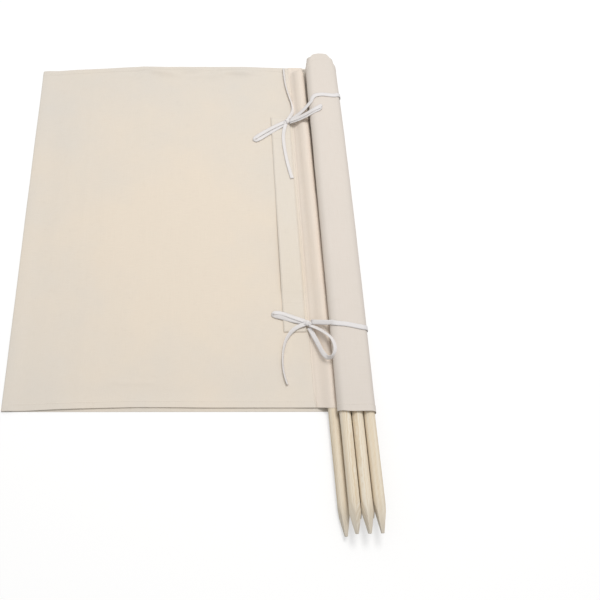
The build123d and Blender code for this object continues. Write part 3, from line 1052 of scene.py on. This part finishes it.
def tightPath(start, bulge):
    # tight line from a knot over the roll and under it: (x, z) with the way out of the roll
    radius = bandCut["radius"]
    second, fourth, sixth = (Vector(poleCenters[index]) for index in (1, 3, 5))
    away = second - start
    touch = math.atan2(away.y, away.x) + math.pi - math.acos(radius / away.length)

    def onto(middle, angle):
        out = Vector((math.cos(angle), math.sin(angle)))
        return middle + out * radius, out

    first, firstOut = onto(second, touch)  # the line meets the roll over pole 2
    spots = [(start.lerp(first, i / 7), firstOut) for i in range(7)]
    spots += [onto(second, touch + (math.pi / 2 - touch) * i / 6) for i in range(7)]
    left, right = spots[-1][0], fourth + Vector((0, radius))
    spots += [(left.lerp(right, i / 7), Vector((0, 1))) for i in range(1, 7)]
    spots += [onto(fourth, math.radians(90 - 10 * i)) for i in range(13)]
    spots += [onto(sixth, math.radians(-30 - 7.5 * i)) for i in range(9)]
    spots.append((Vector((bandCut["end"], spots[-1][0].y)), Vector((0, -1))))

    def onCloth(spot, out):
        return spot + Vector((max(0.0, out.x) * bulge, max(0.0, rollCrown(spot.x, out.y))))

    return [(onCloth(spot, out), out) for spot, out in spots]


def makeTie(name):
    tie = ties[name]
    centerX, centerY, base = tie["knot"]
    onTop = bandCut["onTop"]
    bulge = between(centerY, rollCut["rightBulge"])
    path = tightPath(Vector((centerX + knotCut["half"], base + knotCut["startZ"])), bulge)
    along = []
    for index, (spot, out) in enumerate(path):
        place = spot.x if index < onTop else bandCut["backX"] + bandCut["backStep"] * (index - onTop)
        along.append(between(place, tie["band"]))
    for _ in range(5):  # rounds the corners of the band's line
        along[1:-1] = [(a + 2 * b + c) / 4 for a, b, c in zip(along, along[1:], along[2:])]
    points = [Vector((spot.x, y, max(bandCut["leastZ"], spot.y))) for (spot, out), y in zip(path, along)]
    ups = [Vector((out.x, 0, out.y)) for spot, out in path]
    addTape(f"tie_{name}_band", tapeMesh(points, ups, tapeCut["bandWidth"]))

    bandLine = [(spot.x, spot.y) for spot, out in path[:onTop]]
    rightRoute = [(x, y, between(x, bandLine) + lift) for x, y, lift in tie["rightLoop"]]
    for side, route in (("left", tie["leftLoop"]), ("right", rightRoute)):
        ups = [Vector(up) for up in tie[side + "Ups"]]
        addTape(f"tie_{name}_loop_{side}", tapeMesh(splinePoints(route), ups, tapeCut["loopWidth"]))
    makeKnot(name)


def makeKnot(name):
    # a short turn of tape round the crossing strands, which puff up at both sides of it
    cut = knotCut
    bm = bmesh.new()
    turned = Matrix.Rotation(math.radians(ties[name]["slant"]), 4, "Z")
    place = Matrix.Translation(ties[name]["knot"])

    def strand(points, ups, width):
        spots = [place @ turned @ Vector(point) for point in splinePoints(points)]
        tapeMesh(spots, [turned.to_3x3() @ Vector(up) for up in ups], width, bm)

    halfY, halfZ, middleZ = cut["ring"]
    turns = [math.radians(90 - 30 * i) for i in range(13)]
    strand([(0, halfY * math.cos(turn), middleZ + halfZ * math.sin(turn)) for turn in turns],
           [(0, math.cos(turn), math.sin(turn)) for turn in turns], cut["ringWidth"])
    strand([(-9, -2.5, 4.4), (-5, -2.5, 6.2), (0, -2.2, 7.4), (5, -1.8, 6.6), (9, -1, 5)],
           [(0, -0.3, 1)] * 2, cut["puffWidth"])
    strand([(-9, 2.5, 4.4), (-5, 3, 6), (0, 2.6, 7), (5, 2.6, 6.4), (9, 2.5, 5)],
           [(0, 0.4, 1)] * 2, cut["puffWidth"])
    strand([(-7, 0, 2), (0, 0, 2.8), (7, 0, 2)], [(0, 0, 1)] * 2, cut["underWidth"])
    addTape(f"tie_{name}_knot", bm)


makeTie("top")
makeTie("low")
print("ties ready")


# stitches along hems, seams and strap; share is how much of the pitch shows as thread
stitchCut = {
    "pitch": 3.3,
    "share": 0.72,
    "width": 0.6,
    "rise": 0.22,
    "hem": 13,
    "seamX": 648.5,
    "strapEdge": (3, 3.5),  # inward from the strap's sides and ends
    "strapPatch": 68,  # between the two rows across each end
    "baySpan": (14, 646),
    "seamSpan": (8, 964),
    "sleeveHem": 13.5,
    "closedEnd": (961, 966),
    "closedSpan": (655, 679),
    "above": 60,  # height that rays start from
}


def stitchRow(bm, tree, rays):
    # rays run onto the cloth from outside; a stitch lies between each two places that they meet
    spots = []
    for start, aim in rays:
        place = tree.ray_cast(toFrame @ start, aim)[0]
        if place:
            spots.append((toFrame.inverted() @ place, -aim))
    for (a, outA), (b, outB) in zip(spots, spots[1:]):
        along = b - a
        if along.length > 2.5 * stitchCut["pitch"]:
            continue
        across = along.cross(outA + outB).normalized()
        up = across.cross(along).normalized()
        turn = Matrix((along.normalized(), across, up)).transposed().to_4x4()
        half = along.length * stitchCut["share"] / 2, stitchCut["width"] / 2
        size = Matrix.Diagonal((*half, stitchCut["rise"], 1))
        bmesh.ops.create_icosphere(bm, subdivisions=1, radius=1.0,
                                   matrix=Matrix.Translation((a + b) / 2) @ turn @ size)


def addStitches(name, piece, rows):
    tree = BVHTree.FromObject(bpy.data.objects[piece], bpy.context.evaluated_depsgraph_get())
    bm = bmesh.new()
    for rays in rows:
        stitchRow(bm, tree, rays)
    addPiece(name, bm, thread)


def lineDown(start, end):
    # rays straight down along a line from start to end
    (x0, y0), (x1, y1) = start, end
    count = max(2, round(math.hypot(x1 - x0, y1 - y0) / stitchCut["pitch"]))
    down = Vector((0, 0, -1))
    return [(Vector((x0 + (x1 - x0) * i / count, y0 + (y1 - y0) * i / count, stitchCut["above"])), down)
            for i in range(count + 1)]


def makeStitches():
    cut = stitchCut
    hem, seam = cut["hem"], cut["seamX"]
    left, right = cut["baySpan"]
    rows = []
    for edge, side in (("lowEdge", hem), ("topEdge", -hem)):
        rows.append(lineDown((left, 0), (right, 0)))
        for start, aim in rows[-1]:
            start.y = between(start.x, bayCut[edge]) + side
    low, high = cut["seamSpan"]
    rows.append(lineDown((seam, low), (seam, high)))
    addStitches("stitchesBay", "bayCloth", rows)

    centerX, centerZ = poleCenters[0]
    around = []
    for i in range(13):
        angle = math.radians(125 - 12 * i)
        out = Vector((math.cos(angle), 0, math.sin(angle)))
        around.append((Vector((centerX, cut["sleeveHem"], centerZ)) + out * 30, -out))
    left, right = cut["closedSpan"]
    rows = [around] + [lineDown((left, y), (right, y)) for y in cut["closedEnd"]]
    addStitches("stitchesSleeve", "sleeveOne", rows)
    addStitches("stitchesRoll", "rolledCloth", zip(*rollHems))

    side, end = cut["strapEdge"]
    patch = cut["strapPatch"]
    left, right = strapCut["left"] + side, strapCut["left"] + strapCut["width"] - side
    low, high = strapCut["lowEnd"] + end, strapCut["highEnd"] - end
    rows = [lineDown((x, low), (x, high)) for x in (left, right)]
    rows += [lineDown((left, y), (right, y)) for y in (low, low + patch, high - patch, high)]
    addStitches("stitchesStrap", "carryStrap", rows)


makeStitches()
print("stitches ready")
